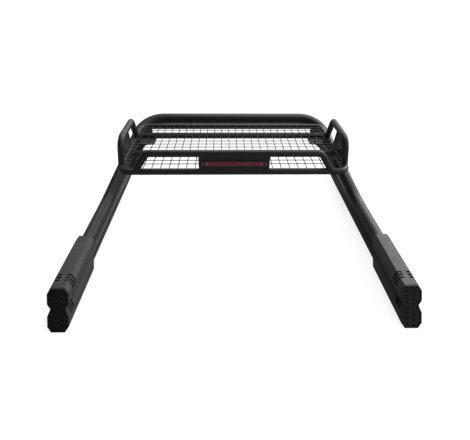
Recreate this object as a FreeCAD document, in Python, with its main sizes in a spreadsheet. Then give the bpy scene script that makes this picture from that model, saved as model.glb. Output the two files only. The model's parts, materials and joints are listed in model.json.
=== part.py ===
import FreeCAD, Part
import math
import os
import sys
import Sketcher
from FreeCAD import Vector, Placement, Rotation

# Headache rack (bed-mounted sport bar with a luggage basket) for a pickup.
# Frame: X across the truck, +Y towards the cab, +Z up, z = 0 is the plane of
# the bed rails the feet rest on, origin midway between the two legs.
# Paired pieces are modelled on the right, at +X, and mirrored to the left.

doc = FreeCAD.newDocument("headache_rack")
sheet = doc.addObject("Spreadsheet::Sheet", "dims")

# alias, value, note
SIZES = [
    # main tubes
    ("tube_od", 76.0, "outside diameter of the main tubes"),
    ("tube_wall", 2.0, "wall of the main tubes"),
    ("leg_x", 850.0, "half distance between the two legs"),
    ("low_z", 50.0, "axis height of the lower rail tube"),
    ("up_z", 127.0, "axis height of the upper tube along the rail"),
    ("low_rear_y", -738.0, "square rear end of the lower tube"),
    ("up_rear_y", -683.0, "square rear end of the upper tube"),
    ("climb_y", 157.0, "where the upper tube turns upwards"),
    ("climb_radius", 300.0, "bend radius of that turn"),
    ("hoop_y", 782.0, "plane of the hoop top"),
    ("hoop_z", 494.0, "axis height of the hoop top"),
    ("hoop_corner_x", 655.0, "where the hoop top and the climbing tubes meet"),
    ("hoop_radius", 190.0, "bend radius of the hoop corners"),
    ("post_radius", 120.0, "bend radius at the foot of the front post"),
    ("post_top_x", 640.0, "front post aims at this point inside the hoop"),
    ("post_top_y", 737.0, "same point"),
    ("post_top_z", 469.0, "same point"),
    # feet
    ("pad_thick", 3.0, "rubber pad under each foot"),
    ("plate_thick", 6.0, "steel foot plate"),
    ("plate_width", 44.0, "foot plate across the rail"),
    ("plate_inset", 13.0, "inner edge of the foot plate from the leg axis"),
    ("plate_length", 220.0, "foot plate along the rail"),
    ("bolt_spacing", 160.0, "distance between the two foot holes"),
    ("bolt_hole", 10.5, "foot hole for an M10 bolt"),
    ("boss_od", 20.0, "threaded boss welded above each foot hole"),
    ("boss_top", 26.0, "top of the boss"),
    ("rear_foot_y", -500.0, "centre of the rear foot"),
    ("front_foot_y", 540.0, "centre of the front foot"),
    ("saddle_offset", 50.0, "saddle blocks each side of the foot centre"),
    # leg covers
    ("cover_half", 51.0, "half width of the leg cover"),
    ("cover_top", 178.0, "height of the leg cover"),
    ("cover_bottom", 1.0, "lower edge of the leg cover"),
    ("cover_wall", 3.0, "wall of the leg cover"),
    ("cover_rear_y", -821.0, "lowest rear point of the cap"),
    ("cover_front_y", -404.0, "lower front edge of the cover"),
    ("slash_run", 112.0, "how far the rear face leans forward over its height"),
    ("nose_run", 121.0, "how far the front face leans forward over its height"),
    ("corner_cut", 18.0, "corner flats of the cover section, across"),
    ("corner_rise", 22.0, "corner flats of the cover section, upwards"),
    ("waist_half", 36.5, "half width at the waist between the two lobes"),
    ("waist_z", 95.0, "height of the waist"),
    ("cap_thick", 7.0, "end cap, measured along the leg"),
    ("cap_web", 2.5, "solid skin behind the honeycomb cells"),
    ("cell_rise", 21.6, "height step between cells of one column"),
    ("cell_column", 32.0, "distance between the columns of cells"),
    ("cell_rib", 4.6, "rib left between two cells"),
    ("cell_low", 13.0, "height of the lowest cell of the middle column"),
    ("slot_width", 12.0, "width of a louvre slot"),
    ("slot_pitch", 20.0, "distance between louvre slots"),
    ("slot_start", 60.0, "first slot, measured from the top edge of the rear face"),
    # basket
    ("bask_od", 38.0, "basket tube outside diameter"),
    ("bask_wall", 2.0, "basket tube wall"),
    ("bask_z", 472.0, "axis height of the basket frame"),
    ("bask_half", 661.0, "half width between the side tube axes"),
    ("bask_rear_y", -66.0, "tube nearest the tailgate"),
    ("bask_front_y", 673.0, "tube nearest the cab"),
    ("bask_radius", 60.0, "corner radius"),
    ("cross_od", 38.0, "cross member tube"),
    ("cross_z", 462.0, "axis height of the cross members"),
    ("cross_rear_y", 207.0, "rear cross member"),
    ("cross_front_y", 520.0, "front cross member"),
    ("wire_d", 5.0, "floor wire diameter"),
    ("wire_pitch", 50.0, "floor wire spacing"),
    ("wire_long_z", 483.5, "lengthwise wires"),
    ("wire_cross_z", 488.55, "crosswise wires"),
    # side rails of the basket
    ("rail_lean", 6.45, "inward lean of the side rails, degrees"),
    ("rail_rear_y", 6.0, "upright of the side rail"),
    ("rail_top", 169.0, "side rail height above the frame axis"),
    ("rail_turn_y", 310.0, "where the top bar turns down"),
    ("rail_foot_y", 464.0, "where the sloping leg lands"),
    ("rail_radius", 60.0, "bend radius"),
    ("infill_thick", 3.0, "sheet infill in the side rail"),
    ("infill_top_y", 204.0, "front edge of the infill at the top"),
    ("infill_low_y", 292.0, "front edge of the infill at the bottom"),
    # light panel hoop
    ("panel_z", 585.0, "axis height of the light panel tube"),
    ("panel_foot_x", 566.0, "where the panel tube lands on the frame"),
    ("panel_corner_x", 495.0, "where the panel tube turns"),
    ("panel_radius", 50.0, "bend radius"),
    ("box_half", 201.0, "half width of the light box"),
    ("box_rear_y", -84.0, "outer face of the light box"),
    ("box_front_y", -50.0, "open side of the light box"),
    ("box_wall", 2.0, "light box sheet"),
    ("lamp_z", 530.0, "axis of the lamp"),
    ("lens_half", 163.5, "half length of the lens"),
    ("lens_height", 24.0, "lens height"),
    ("bezel_half", 187.0, "half length of the lamp bezel"),
    ("bezel_height", 36.0, "bezel height"),
    # basket supports
    ("plate_x0", 530.0, "inner edge of the support plate"),
    ("plate_x1", 664.0, "outer edge of the support plate"),
    ("plate_y0", 390.0, "rear edge of the support plate"),
    ("plate_y1", 508.0, "front edge of the support plate"),
    ("plate_t", 6.0, "support plate thickness"),
    ("strut_od", 25.0, "support strut tube"),
    ("strut_x", 600.0, "top of the strut"),
    ("strut_y", 425.0, "top of the strut"),
    ("saddle_y", 430.0, "where the strut meets the climbing tube"),
    ("tab_x", 300.0, "brackets between the hoop and the basket"),
    ("tab_t", 6.0, "bracket thickness"),
    ("bolt_d", 8.0, "M8 fastener shank"),
    ("bolt_af", 13.0, "M8 head across flats"),
    ("bolt_head", 5.5, "M8 head height"),
]
for row, (alias, value, note) in enumerate(SIZES, start=1):
    sheet.set("A%d" % row, note)
    sheet.set("B%d" % row, str(value))
    sheet.setAlias("B%d" % row, alias)
doc.recompute()


class Size:
    """A size with its value and the sheet expression that gives it."""

    def __init__(self, value, text):
        self.value = float(value)
        self.text = text

    @staticmethod
    def of(x):
        return x if isinstance(x, Size) else Size(x, "%.6f" % float(x))

    def __add__(self, other):
        other = Size.of(other)
        return Size(self.value + other.value, "(%s + %s)" % (self.text, other.text))

    __radd__ = __add__

    def __sub__(self, other):
        other = Size.of(other)
        return Size(self.value - other.value, "(%s - %s)" % (self.text, other.text))

    def __rsub__(self, other):
        return Size.of(other) - self

    def __mul__(self, other):
        other = Size.of(other)
        return Size(self.value * other.value, "(%s * %s)" % (self.text, other.text))

    __rmul__ = __mul__

    def __truediv__(self, other):
        other = Size.of(other)
        return Size(self.value / other.value, "(%s / %s)" % (self.text, other.text))

    def __neg__(self):
        return Size(-self.value, "(0 - %s)" % self.text)


def dim(name):
    return Size(float(sheet.get(name)), "dims.%s" % name)


def bind(obj, prop, size):
    obj.setExpression(prop, Size.of(size).text)


# ------------------------------------------------------ sketches and bodies
def new_body(name):
    return doc.addObject("PartDesign::Body", "b_" + name)


def origin_plane(body, role):
    for feature in body.Origin.OriginFeatures:
        if feature.Role == role:
            return feature


def new_sketch(body, name, plane, offset=None):
    """The offset runs along the plane's normal, which is -Y for XZ_Plane."""
    sketch = body.newObject("Sketcher::SketchObject", name)
    sketch.AttachmentSupport = [(origin_plane(body, plane), "")]
    sketch.MapMode = "FlatFace"
    if offset is not None:
        offset = Size.of(offset)
        sketch.AttachmentOffset = Placement(Vector(0, 0, offset.value), Rotation())
        bind(sketch, "AttachmentOffset.Base.z", offset)
    return sketch


def constrain(sketch, size, kind, *refs):
    """Add a dimension that follows the sheet."""
    index = sketch.addConstraint(Sketcher.Constraint(kind, *refs, size.value))
    bind(sketch, "Constraints[%d]" % index, size)


def pin(sketch, geo, pos, x, y):
    """Place a point; a zero coordinate puts it on the sketch axis instead."""
    for kind, size, axis in (("DistanceX", x, -2), ("DistanceY", y, -1)):
        size = Size.of(size)
        if abs(size.value) < 1e-9:
            sketch.addConstraint(Sketcher.Constraint("PointOnObject", geo, pos, axis))
        else:
            constrain(sketch, size, kind, -1, 1, geo, pos)


def flat(point):
    return Vector(point[0].value, point[1].value, 0)


def polygon(sketch, points):
    points = [(Size.of(x), Size.of(y)) for x, y in points]
    count = len(points)
    ids = []
    for i in range(count):
        side = Part.LineSegment(flat(points[i]), flat(points[(i + 1) % count]))
        ids.append(sketch.addGeometry(side, False))
    for i in range(count):
        sketch.addConstraint(Sketcher.Constraint(
            "Coincident", ids[i], 2, ids[(i + 1) % count], 1))
    for i in range(count):
        pin(sketch, ids[i], 1, *points[i])


def rectangle(x0, y0, x1, y1):
    return [(x0, y0), (x1, y0), (x1, y1), (x0, y1)]


def circle(sketch, x, y, radius):
    x, y, radius = Size.of(x), Size.of(y), Size.of(radius)
    geo = sketch.addGeometry(
        Part.Circle(flat((x, y)), Vector(0, 0, 1), radius.value), False)
    constrain(sketch, radius, "Radius", geo)
    pin(sketch, geo, 3, x, y)


def bend(before, corner, after, radius):
    """Start, middle and end of the arc that rounds a corner."""
    back = (before - corner).normalize()
    ahead = (after - corner).normalize()
    angle = back.getAngle(ahead)
    run = radius / math.tan(angle / 2)
    bisector = (back + ahead).normalize()
    centre = corner + bisector * (radius / math.sin(angle / 2))
    return corner + back * run, centre - bisector * radius, corner + ahead * run


def bent_path(sketch, corners, radii, closed=False):
    """Straight runs joined by tangent arcs; the corners are held by
    construction lines, so the path follows the sheet."""
    corners = [(Size.of(x), Size.of(y)) for x, y in corners]
    count = len(corners)
    runs = count if closed else count - 1
    spots = [flat(corner) for corner in corners]

    def link(kind, *refs):
        sketch.addConstraint(Sketcher.Constraint(kind, *refs))

    guides = []
    for i in range(runs):
        guides.append(sketch.addGeometry(
            Part.LineSegment(spots[i], spots[(i + 1) % count]), True))
    for i in range(runs if closed else runs - 1):
        link("Coincident", guides[i], 2, guides[(i + 1) % runs], 1)
    for i in range(runs):
        pin(sketch, guides[i], 1, *corners[i])
    if not closed:
        pin(sketch, guides[-1], 2, *corners[-1])

    start, end, arcs = list(spots), list(spots), [None] * count
    for i in range(count):
        inner = closed or 0 < i < count - 1
        if inner and radii[i] is not None:
            radius = Size.of(radii[i])
            start[i], middle, end[i] = bend(
                spots[i - 1], spots[i], spots[(i + 1) % count], radius.value)
            arcs[i] = (Part.Arc(start[i], middle, end[i]), radius)

    lines = []
    for i in range(runs):
        lines.append(sketch.addGeometry(
            Part.LineSegment(end[i], start[(i + 1) % count]), False))
    for i in range(count):
        before, after = lines[(i - 1) % runs], lines[i % runs]
        if arcs[i] is None:
            if closed or 0 < i < count - 1:
                link("Coincident", before, 2, after, 1)
            continue
        arc, radius = arcs[i]
        geo = sketch.addGeometry(arc, False)
        # a sketch arc runs anticlockwise, so its ends may be swapped
        kept = (sketch.Geometry[geo].StartPoint - start[i]).Length < 1e-6
        first = 1 if kept else 2
        link("Tangent", before, 2, geo, first)
        link("Tangent", geo, 3 - first, after, 1)
        constrain(sketch, radius, "Radius", geo)
    for i in range(runs):
        if arcs[i] is None:
            link("Coincident", lines[i], 1, guides[i], 1)
        else:
            link("PointOnObject", lines[i], 1, guides[i])
        following = (i + 1) % count
        if arcs[following] is not None:
            link("PointOnObject", lines[i], 2, guides[i])
        elif following == count - 1 and not closed:
            link("Coincident", lines[i], 2, guides[i], 2)


def extrusion(kind, body, sketch, length, name, midplane=False, reverse=False):
    feature = body.newObject("PartDesign::" + kind, name)
    feature.Profile = sketch
    length = Size.of(length)
    feature.Length = length.value
    bind(feature, "Length", length)
    if midplane:
        feature.Midplane = True
    if reverse:
        feature.Reversed = True


def polygon_body(name, plane, offset, points, length, midplane=False, reverse=False):
    body = new_body(name)
    sketch = new_sketch(body, name + "_sketch", plane, offset)
    polygon(sketch, points)
    extrusion("Pad", body, sketch, length, name + "_pad", midplane, reverse)
    return body


def drill(body, name, offset, centres, radius, depth):
    """Round holes upwards from a horizontal plane."""
    sketch = new_sketch(body, name + "_holes", "XY_Plane", offset)
    for x, y in centres:
        circle(sketch, x, y, radius)
    extrusion("Pocket", body, sketch, depth, name + "_bores", reverse=True)


def round_edges(body, axis, radius, name):
    """Fillet the edges of the latest feature that run along the axis."""
    doc.recompute()
    base = body.Tip
    names = ["Edge%d" % (i + 1) for i, edge in enumerate(base.Shape.Edges)
             if abs(getattr(edge.tangentAt(edge.FirstParameter), axis)) > 0.99]
    fillet = body.newObject("PartDesign::Fillet", name)
    fillet.Base = (base, names)
    fillet.Radius = radius


def piped_body(name, section, path, corners, radii, closed=False):
    """A round section swept along a bent path.
    section: plane, x, y, radius; path: plane, offset."""
    body = new_body(name)
    plane, x, y, radius = section
    profile = new_sketch(body, name + "_profile", plane)
    circle(profile, x, y, radius)
    spine = new_sketch(body, name + "_path", *path)
    bent_path(spine, corners, radii, closed)
    sweep = body.newObject("PartDesign::AdditivePipe", name + "_pipe")
    sweep.Profile = profile
    sweep.Spine = (spine, [])
    return body


# ------------------------------------------------------- plain Part helpers
AXIS_TURN = {"Z": Rotation(),
             "Y": Rotation(Vector(1, 0, 0), -90),
             "X": Rotation(Vector(0, 1, 0), 90)}


def primitive(kind, name, place, axis, **sizes):
    solid = doc.addObject("Part::" + kind, name)
    for prop, size in sizes.items():
        bind(solid, prop, size)
    solid.Placement = Placement(Vector(0, 0, 0), AXIS_TURN[axis])
    for prop, size in zip("xyz", place):
        bind(solid, "Placement.Base." + prop, size)
    return solid


def box(name, x, y, z, length, width, height):
    return primitive("Box", name, (x, y, z), "Z", Length=length, Width=width, Height=height)


def cyl(name, x, y, z, radius, height, axis="Z"):
    return primitive("Cylinder", name, (x, y, z), axis, Radius=radius, Height=height)


def hex_prism(name, x, y, z, flats, height, axis):
    solid = primitive("Prism", name, (x, y, z), axis,
                      Circumradius=flats / math.sqrt(3.0), Height=height)
    solid.Polygon = 6
    return solid


def cut(name, base, tool):
    result = doc.addObject("Part::Cut", name)
    result.Base = base
    result.Tool = tool
    return result


def fuse(name, objs):
    result = doc.addObject("Part::MultiFuse", name)
    result.Shapes = objs
    result.Refine = True
    return result


def common(name, objs):
    result = doc.addObject("Part::MultiCommon", name)
    result.Shapes = objs
    return result


def group(name, objs):
    """Several separate solids kept as one node."""
    result = doc.addObject("Part::Compound", name)
    result.Links = objs
    return result


def mirror(name, obj):
    result = doc.addObject("Part::Mirroring", name)
    result.Source = obj
    result.Base = Vector(0, 0, 0)
    result.Normal = Vector(1, 0, 0)
    return result


def shape_of(name, shape):
    result = doc.addObject("Part::Feature", name)
    result.Shape = shape
    return result


SUBPARTS = []


def keep(obj, label):
    """Mark an object as a finished piece."""
    obj.Label = label
    SUBPARTS.append(obj)


def keep_both(label, obj):
    """Keep the right-hand piece and its mirror image on the left."""
    keep(obj, label + "_right")
    keep(mirror("m_" + label, obj), label + "_left")


def with_mirror(name, obj):
    return [obj, mirror("m_" + name, obj)]


def mirrored_pair(shapes):
    """Shapes on the right followed by their images on the left."""
    return shapes + [s.mirror(Vector(0, 0, 0), Vector(1, 0, 0)) for s in shapes]


# --------------------------------------- bent tubes that leave their plane
def point(x, y, z):
    return Vector(Size.of(x).value, Size.of(y).value, Size.of(z).value)


def swept(corners, radii, tube_radius):
    """A round bar along straight runs joined by arcs."""
    edges = []
    here = corners[0]
    for i in range(1, len(corners)):
        if i < len(corners) - 1:
            start, middle, end = bend(corners[i - 1], corners[i], corners[i + 1], radii[i])
            edges.append(Part.makeLine(here, start))
            edges.append(Part.Arc(start, middle, end).toShape())
            here = end
        else:
            edges.append(Part.makeLine(here, corners[i]))
    direction = (corners[1] - corners[0]).normalize()
    section = Part.Wire([Part.makeCircle(tube_radius, corners[0], direction)])
    return Part.Wire(edges).makePipeShell([section], True, False)


# ------------------------------------------------------------ main tubes
leg_x = dim("leg_x")
low_z, up_z = dim("low_z"), dim("up_z")
tube_r = dim("tube_od") / 2
tube_bore_r = tube_r - dim("tube_wall")

climb_start = point(leg_x, dim("climb_y"), up_z)
hoop_corner = point(dim("hoop_corner_x"), dim("hoop_y"), dim("hoop_z"))
hoop_corners = [
    point(leg_x, dim("up_rear_y"), up_z),
    climb_start,
    hoop_corner,
    point(-dim("hoop_corner_x"), dim("hoop_y"), dim("hoop_z")),
    point(-leg_x, dim("climb_y"), up_z),
    point(-leg_x, dim("up_rear_y"), up_z)]
climb_bend, hoop_bend = dim("climb_radius").value, dim("hoop_radius").value
hoop_bends = [0, climb_bend, hoop_bend, hoop_bend, climb_bend, 0]
hoop_outer = shape_of("hoop_outer", swept(hoop_corners, hoop_bends, tube_r.value))
hoop_inner = shape_of("hoop_inner", swept(hoop_corners, hoop_bends, tube_bore_r.value))

# the strut saddles sit on the climbing tubes at strut_foot, facing the basket
SADDLE_BOLTS = (-24.0, 24.0)    # along the climbing tube from strut_foot
clear_r = dim("bolt_d") / 2 + 0.3
climb_dir = (hoop_corner - climb_start).normalize()
climb_run = (dim("saddle_y").value - dim("climb_y").value) / climb_dir.y
strut_foot = climb_start + climb_dir * climb_run
strut_head = point(dim("strut_x"), dim("strut_y"),
                   dim("bask_z") - dim("bask_od") / 2 - 2 * dim("plate_t"))
facing = strut_head - strut_foot
facing = (facing - climb_dir * facing.dot(climb_dir)).normalize()

saddle_holes = [
    Part.makeCylinder(clear_r.value, 60, strut_foot + climb_dir * offset, facing)
    for offset in SADDLE_BOLTS]
hoop_holes = shape_of("hoop_holes", Part.makeCompound(mirrored_pair(saddle_holes)))
keep(cut("main_hoop", hoop_outer, group("hoop_tool", [hoop_inner, hoop_holes])), "main_hoop")

# the lower tube turns up at the front into the post that meets the hoop
low_corners = [
    point(leg_x, dim("low_rear_y"), low_z),
    point(leg_x, dim("hoop_y"), low_z),
    point(dim("post_top_x"), dim("post_top_y"), dim("post_top_z"))]
low_bends = [0, dim("post_radius").value, 0]
low_outer = shape_of("low_outer", swept(low_corners, low_bends, tube_r.value))
low_inner = shape_of("low_inner", swept(low_corners, low_bends, tube_bore_r.value))

# holes in the underside of the lower tube for the threaded bosses
FEET = (("rear", dim("rear_foot_y")), ("front", dim("front_foot_y")))


def foot_bolts(foot_y):
    half = dim("bolt_spacing") / 2
    return [foot_y - half, foot_y + half]


boss_holes = []
for end, foot_y in FEET:
    for k, y in enumerate(foot_bolts(foot_y)):
        boss_holes.append(cyl("boss_hole_%s%d" % (end, k), leg_x, y, 0,
                              dim("boss_od") / 2, low_z))
low_tool = fuse("low_tool", [low_inner, hoop_outer] + boss_holes)
keep_both("lower_rail_tube", cut("low_tube", low_outer, low_tool))

# closing plugs in the square rear ends of the four tubes: a solid rim outside
# the tube and a hollow spigot inside it
PLUG_RIM = 3
PLUG_SPIGOT = 16
PLUG_WALL = 3
plugs = []
for tube, end_y, axis_z in (("up", dim("up_rear_y"), up_z),
                            ("low", dim("low_rear_y"), low_z)):
    body = new_body("plug_" + tube)
    for step, kind, radius, length, reverse in (
            ("rim", "Pad", tube_r, PLUG_RIM, False),
            ("spigot", "Pad", tube_bore_r, PLUG_SPIGOT, True),
            ("bore", "Pocket", tube_bore_r - PLUG_WALL, PLUG_SPIGOT, False)):
        name = "plug_%s_%s" % (step, tube)
        sketch = new_sketch(body, name, "XZ_Plane", -end_y)
        circle(sketch, leg_x, axis_z, radius)
        extrusion(kind, body, sketch, length, name + "_step", reverse=reverse)
    plugs += with_mirror("plug_" + tube, body)
keep(group("tube_plugs", plugs), "tube_end_plugs")

# stitch welds that join the stacked tubes of each leg: short flat-sided beads
# laid in the grooves on both sides, each face tangent to the tube beside it
WELD_COUNT = 6
WELD_REAR_Y = -655.0
WELD_PITCH = 130.0
WELD_LENGTH = 30
WELD_ANGLES = (15.5, 21.5)      # where the two faces touch, degrees from upright
WELD_ROOT_X = 8.5
WELD_TOE_X = 16.0
WELD_OUTSIDE = [(17.6, 2.4), (18.2, 0.0)]    # x from the leg axis, z from the groove
skin_r = tube_r.value + 0.02


def tangent_height(x, degrees):
    """Height over the groove of a line tangent to the upper tube."""
    angle = math.radians(degrees)
    half_gap = (up_z.value - low_z.value) / 2
    return half_gap - (skin_r - x * math.sin(angle)) / math.cos(angle)


weld_mid = math.radians(sum(WELD_ANGLES) / 2)
weld_spread = math.radians((WELD_ANGLES[1] - WELD_ANGLES[0]) / 2)
weld_mid_x = skin_r / math.cos(weld_spread) * math.sin(weld_mid)
bead = [(x, tangent_height(x, degrees)) for x, degrees in (
    (WELD_ROOT_X, WELD_ANGLES[0]), (weld_mid_x, WELD_ANGLES[0]),
    (WELD_TOE_X, WELD_ANGLES[1]))] + WELD_OUTSIDE
bead += [(x, -z) for x, z in reversed(bead[:-1])]
groove_z = (low_z + up_z) / 2
welds = []
for k in range(WELD_COUNT):
    weld_front = WELD_REAR_Y + WELD_PITCH * k + WELD_LENGTH
    for name, side in (("out", 1), ("in", -1)):
        welds.append(polygon_body(
            "weld_%s%d" % (name, k), "XZ_Plane", -weld_front,
            [(leg_x + side * x, groove_z + z) for x, z in bead], WELD_LENGTH))
keep_both("stitch_welds", group("stitch_welds", welds))

# plates that stiffen the corner between the front post and the hoop
GUSSET_Y = 750
GUSSET_THICK = 5
GUSSET_OUTLINE = [    # x, z
    (604, 334), (613, 322), (632, 311), (652, 301), (672, 289), (690, 273),
    (702, 256), (718, 232), (735, 250), (660, 450), (604, 480)]
gusset = polygon_body("gusset", "XZ_Plane", -GUSSET_Y, GUSSET_OUTLINE, GUSSET_THICK,
                      midplane=True)
main_tubes = fuse("main_tubes", [hoop_outer, low_outer])
keep_both("corner_gusset", cut("corner_gusset", gusset, main_tubes))

# ----------------------------------------------------------------- feet
FOOT_CORNER_R = 12.0
SADDLE_INNER = 12       # inner face of a saddle block from the leg axis
SADDLE_WIDTH, SADDLE_LENGTH, SADDLE_HEIGHT = 42, 12, 18


def foot_slab(name, foot_y, offset, thickness, corner_r=None):
    inner = leg_x - dim("plate_inset")
    half = dim("plate_length") / 2
    outline = rectangle(inner, foot_y - half, inner + dim("plate_width"), foot_y + half)
    body = polygon_body(name, "XY_Plane", offset, outline, thickness)
    if corner_r:
        round_edges(body, "z", corner_r, name + "_corners")
    drill(body, name, offset, [(leg_x, y) for y in foot_bolts(foot_y)],
          dim("bolt_hole") / 2, thickness)
    return body


pads, bosses, saddles = [], [], []
plate_top = dim("pad_thick") + dim("plate_thick")
for end, foot_y in FEET:
    keep_both("foot_plate_" + end, foot_slab(
        "plate_" + end, foot_y, dim("pad_thick"), dim("plate_thick"), FOOT_CORNER_R))
    pads += with_mirror("pad_" + end,
                        foot_slab("pad_" + end, foot_y, None, dim("pad_thick")))
    for k, y in enumerate(foot_bolts(foot_y)):
        tag = "%s%d" % (end, k)
        blank = cyl("boss_" + tag, leg_x, y, plate_top, dim("boss_od") / 2,
                    dim("boss_top") - plate_top)
        bore = cyl("boss_bore_" + tag, leg_x, y, 0, dim("bolt_hole") / 2, 60)
        bosses += with_mirror("boss_" + tag, cut("boss_cut_" + tag, blank, bore))
    for k, offset in enumerate((-dim("saddle_offset"), dim("saddle_offset"))):
        tag = "%s%d" % (end, k)
        blank = box("saddle_" + tag, leg_x - SADDLE_INNER,
                    foot_y + offset - SADDLE_LENGTH / 2, plate_top,
                    SADDLE_WIDTH, SADDLE_LENGTH, SADDLE_HEIGHT)
        saddles += with_mirror("saddle_" + tag, cut("saddle_cut_" + tag, blank, low_outer))
keep(group("foot_pads", pads), "rubber_foot_pads")
keep(group("bosses", bosses), "threaded_bosses")
keep(group("saddles", saddles), "foot_saddle_blocks")

# ------------------------------------------------------------ leg covers
cover_top, cover_half = dim("cover_top"), dim("cover_half")
cover_wall, cover_rear = dim("cover_wall"), dim("cover_rear_y")
slash_run, nose_run = dim("slash_run"), dim("nose_run")
cap_thick = dim("cap_thick")
LOBE_SPAN = 560         # length of the lobed blanks, more than the cover
OUTER_ROUND = 5.0       # rounding of the long outside edges
INNER_ROUND = 3.0
NOSE_WALL = 7
TUBE_GAP = 0.4          # radial gap around a tube in the nose of the cover
FOOT_GAP = 3            # gap around the foot plate


def lobes(inset):
    """Outline of the cover across the leg: two lobes with a sharp waist between."""
    low, top = dim("cover_bottom") + inset, cover_top - inset
    half = cover_half - inset
    flat_x = dim("corner_cut") - inset * 0.4
    flat_z = dim("corner_rise") - inset * 0.5
    waist = dim("waist_half") - inset
    waist_z = dim("waist_z")
    down, up = inset * 0.24, inset * 0.33
    right = [    # x from the leg axis, z
        (half - flat_x, low), (half, low + flat_z), (half, waist_z - 29 - down),
        (waist, waist_z - 2 - down), (waist, waist_z + 2 + up),
        (half, waist_z + 20 + up), (half, top - flat_z), (half - flat_x, top)]
    return ([(leg_x + x, z) for x, z in right]
            + [(leg_x - x, z) for x, z in reversed(right)])


def lobe_prism(name, inset, edge_radius=None):
    """Lobed bar along the leg, starting 5 behind the cap."""
    body = polygon_body(name, "XZ_Plane", -(cover_rear - 5), lobes(Size.of(inset)),
                        LOBE_SPAN, reverse=True)
    if edge_radius:
        round_edges(body, "y", edge_radius, name + "_round")
    return body


def leaning_slab(name, rear, front, rear_run, front_run, z0=-20, z1=200):
    """Wide block between two leaning faces given by their y at z = 0."""
    share0, share1 = Size.of(z0) / cover_top, Size.of(z1) / cover_top
    return polygon_body(name, "YZ_Plane", leg_x, [
        (rear + rear_run * share0, z0), (front + front_run * share0, z0),
        (front + front_run * share1, z1), (rear + rear_run * share1, z1)],
        200, midplane=True)


cover_outer = lobe_prism("cover_outer", 0, OUTER_ROUND)
cover_inner = lobe_prism("cover_inner", cover_wall, INNER_ROUND)
side_out = leaning_slab("cover_side", cover_rear + cap_thick + 0.2,
                        dim("cover_front_y"), slash_run, nose_run)
side_in = leaning_slab("cover_room", cover_rear - 20, dim("cover_front_y") - NOSE_WALL,
                       slash_run, nose_run, -30, 210)
cover_solid = common("cover_solid", [cover_outer, side_out])
cavity = common("cover_cavity", [cover_inner, side_in])

# tube holes in the nose of the cover, and the opening over the foot
tube_holes = [cyl("cover_hole_" + tube, leg_x, -700, z, tube_r + TUBE_GAP, 600, "Y")
              for tube, z in (("low", low_z), ("up", up_z))]
foot_opening = box("cover_foot_gap", leg_x - dim("plate_inset") - FOOT_GAP,
                   dim("rear_foot_y") - dim("plate_length") / 2 - FOOT_GAP, -5,
                   dim("plate_width") + 2 * FOOT_GAP,
                   dim("plate_length") + 2 * FOOT_GAP, 19)

# louvres near the cap, parallel to the rear face: three over each top corner
# of the upper lobe and three on each side of the lower lobe
LOUVRE_COUNT = 3
LOUVRES = (    # name, shift in y, bottom z, top z, nearest and farthest x from the leg axis
    ("slot_", 0, 137.0, 190.0, 12.0, 60.0),
    ("low_slot_", -28, 58.0, 90.0, 36.0, 60.0))


def louvre(name, side, y_top, z0, z1, x0, x1):
    """Slot cutter; y_top is where its middle line passes the cover top."""
    half = dim("slot_width") / 2
    y0, y1 = [y_top + slash_run * (Size.of(z) / cover_top) - slash_run for z in (z0, z1)]
    return polygon_body(name, "YZ_Plane", leg_x + side * (x0 + x1) / 2, [
        (y0 - half, z0), (y0 + half, z0), (y1 + half, z1), (y1 - half, z1)],
        x1 - x0, midplane=True)


slots = []
for k in range(LOUVRE_COUNT):
    y_top = cover_rear + slash_run + dim("slot_start") + dim("slot_pitch") * k
    for side, side_name in ((-1, "in"), (1, "out")):
        for name, shift, *extent in LOUVRES:
            slots.append(louvre("%s%d%s" % (name, k, side_name), side,
                                y_top + shift, *extent))
cover_tool = fuse("cover_tool", [cavity] + tube_holes + [foot_opening] + slots)
cover_shell = cut("cover_shell", cover_solid, cover_tool)

# spacers inside the outer wall that take the retaining screws
COVER_SCREW_Y = (-600.0, -440.0)
SPACER_R = 6.0
COVER_BORE_R = 2.6
COVER_SHANK_R = 2.4
COVER_HEAD_R, COVER_HEAD = 4.6, 2.6
tube_side = leg_x + tube_r
spacers, screw_holes = [], []
for k, y in enumerate(COVER_SCREW_Y):
    spacers.append(cyl("spacer%d" % k, tube_side - 3, y, low_z, SPACER_R,
                       cover_half - tube_r + 1.5, "X"))
    screw_holes.append(cyl("screw_hole%d" % k, tube_side - 8, y, low_z,
                           COVER_BORE_R, 40, "X"))
tube_keepout = cyl("cover_tube_keepout", leg_x, -760, low_z, tube_r + 0.2, 700, "Y")
spacer_cut = cut("spacer_cut", group("spacer_group", spacers), tube_keepout)
cover_full = fuse("cover_full", [cover_shell, spacer_cut])
keep_both("leg_cover", cut("leg_cover", cover_full, group("screw_hole_group", screw_holes)))

# retaining screws: pan head outside the cover, shank reaching to the tube
screws = []
for k, y in enumerate(COVER_SCREW_Y):
    name = "cover_screw%d" % k
    head = cyl(name + "_head", leg_x + cover_half, y, low_z, COVER_HEAD_R, COVER_HEAD, "X")
    shank = cyl(name + "_shank", tube_side + 0.3, y, low_z, COVER_SHANK_R,
                cover_half - tube_r - 0.3, "X")
    screws += with_mirror(name, fuse(name, [head, shank]))
keep(group("cover_screws", screws), "cover_screws")

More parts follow.
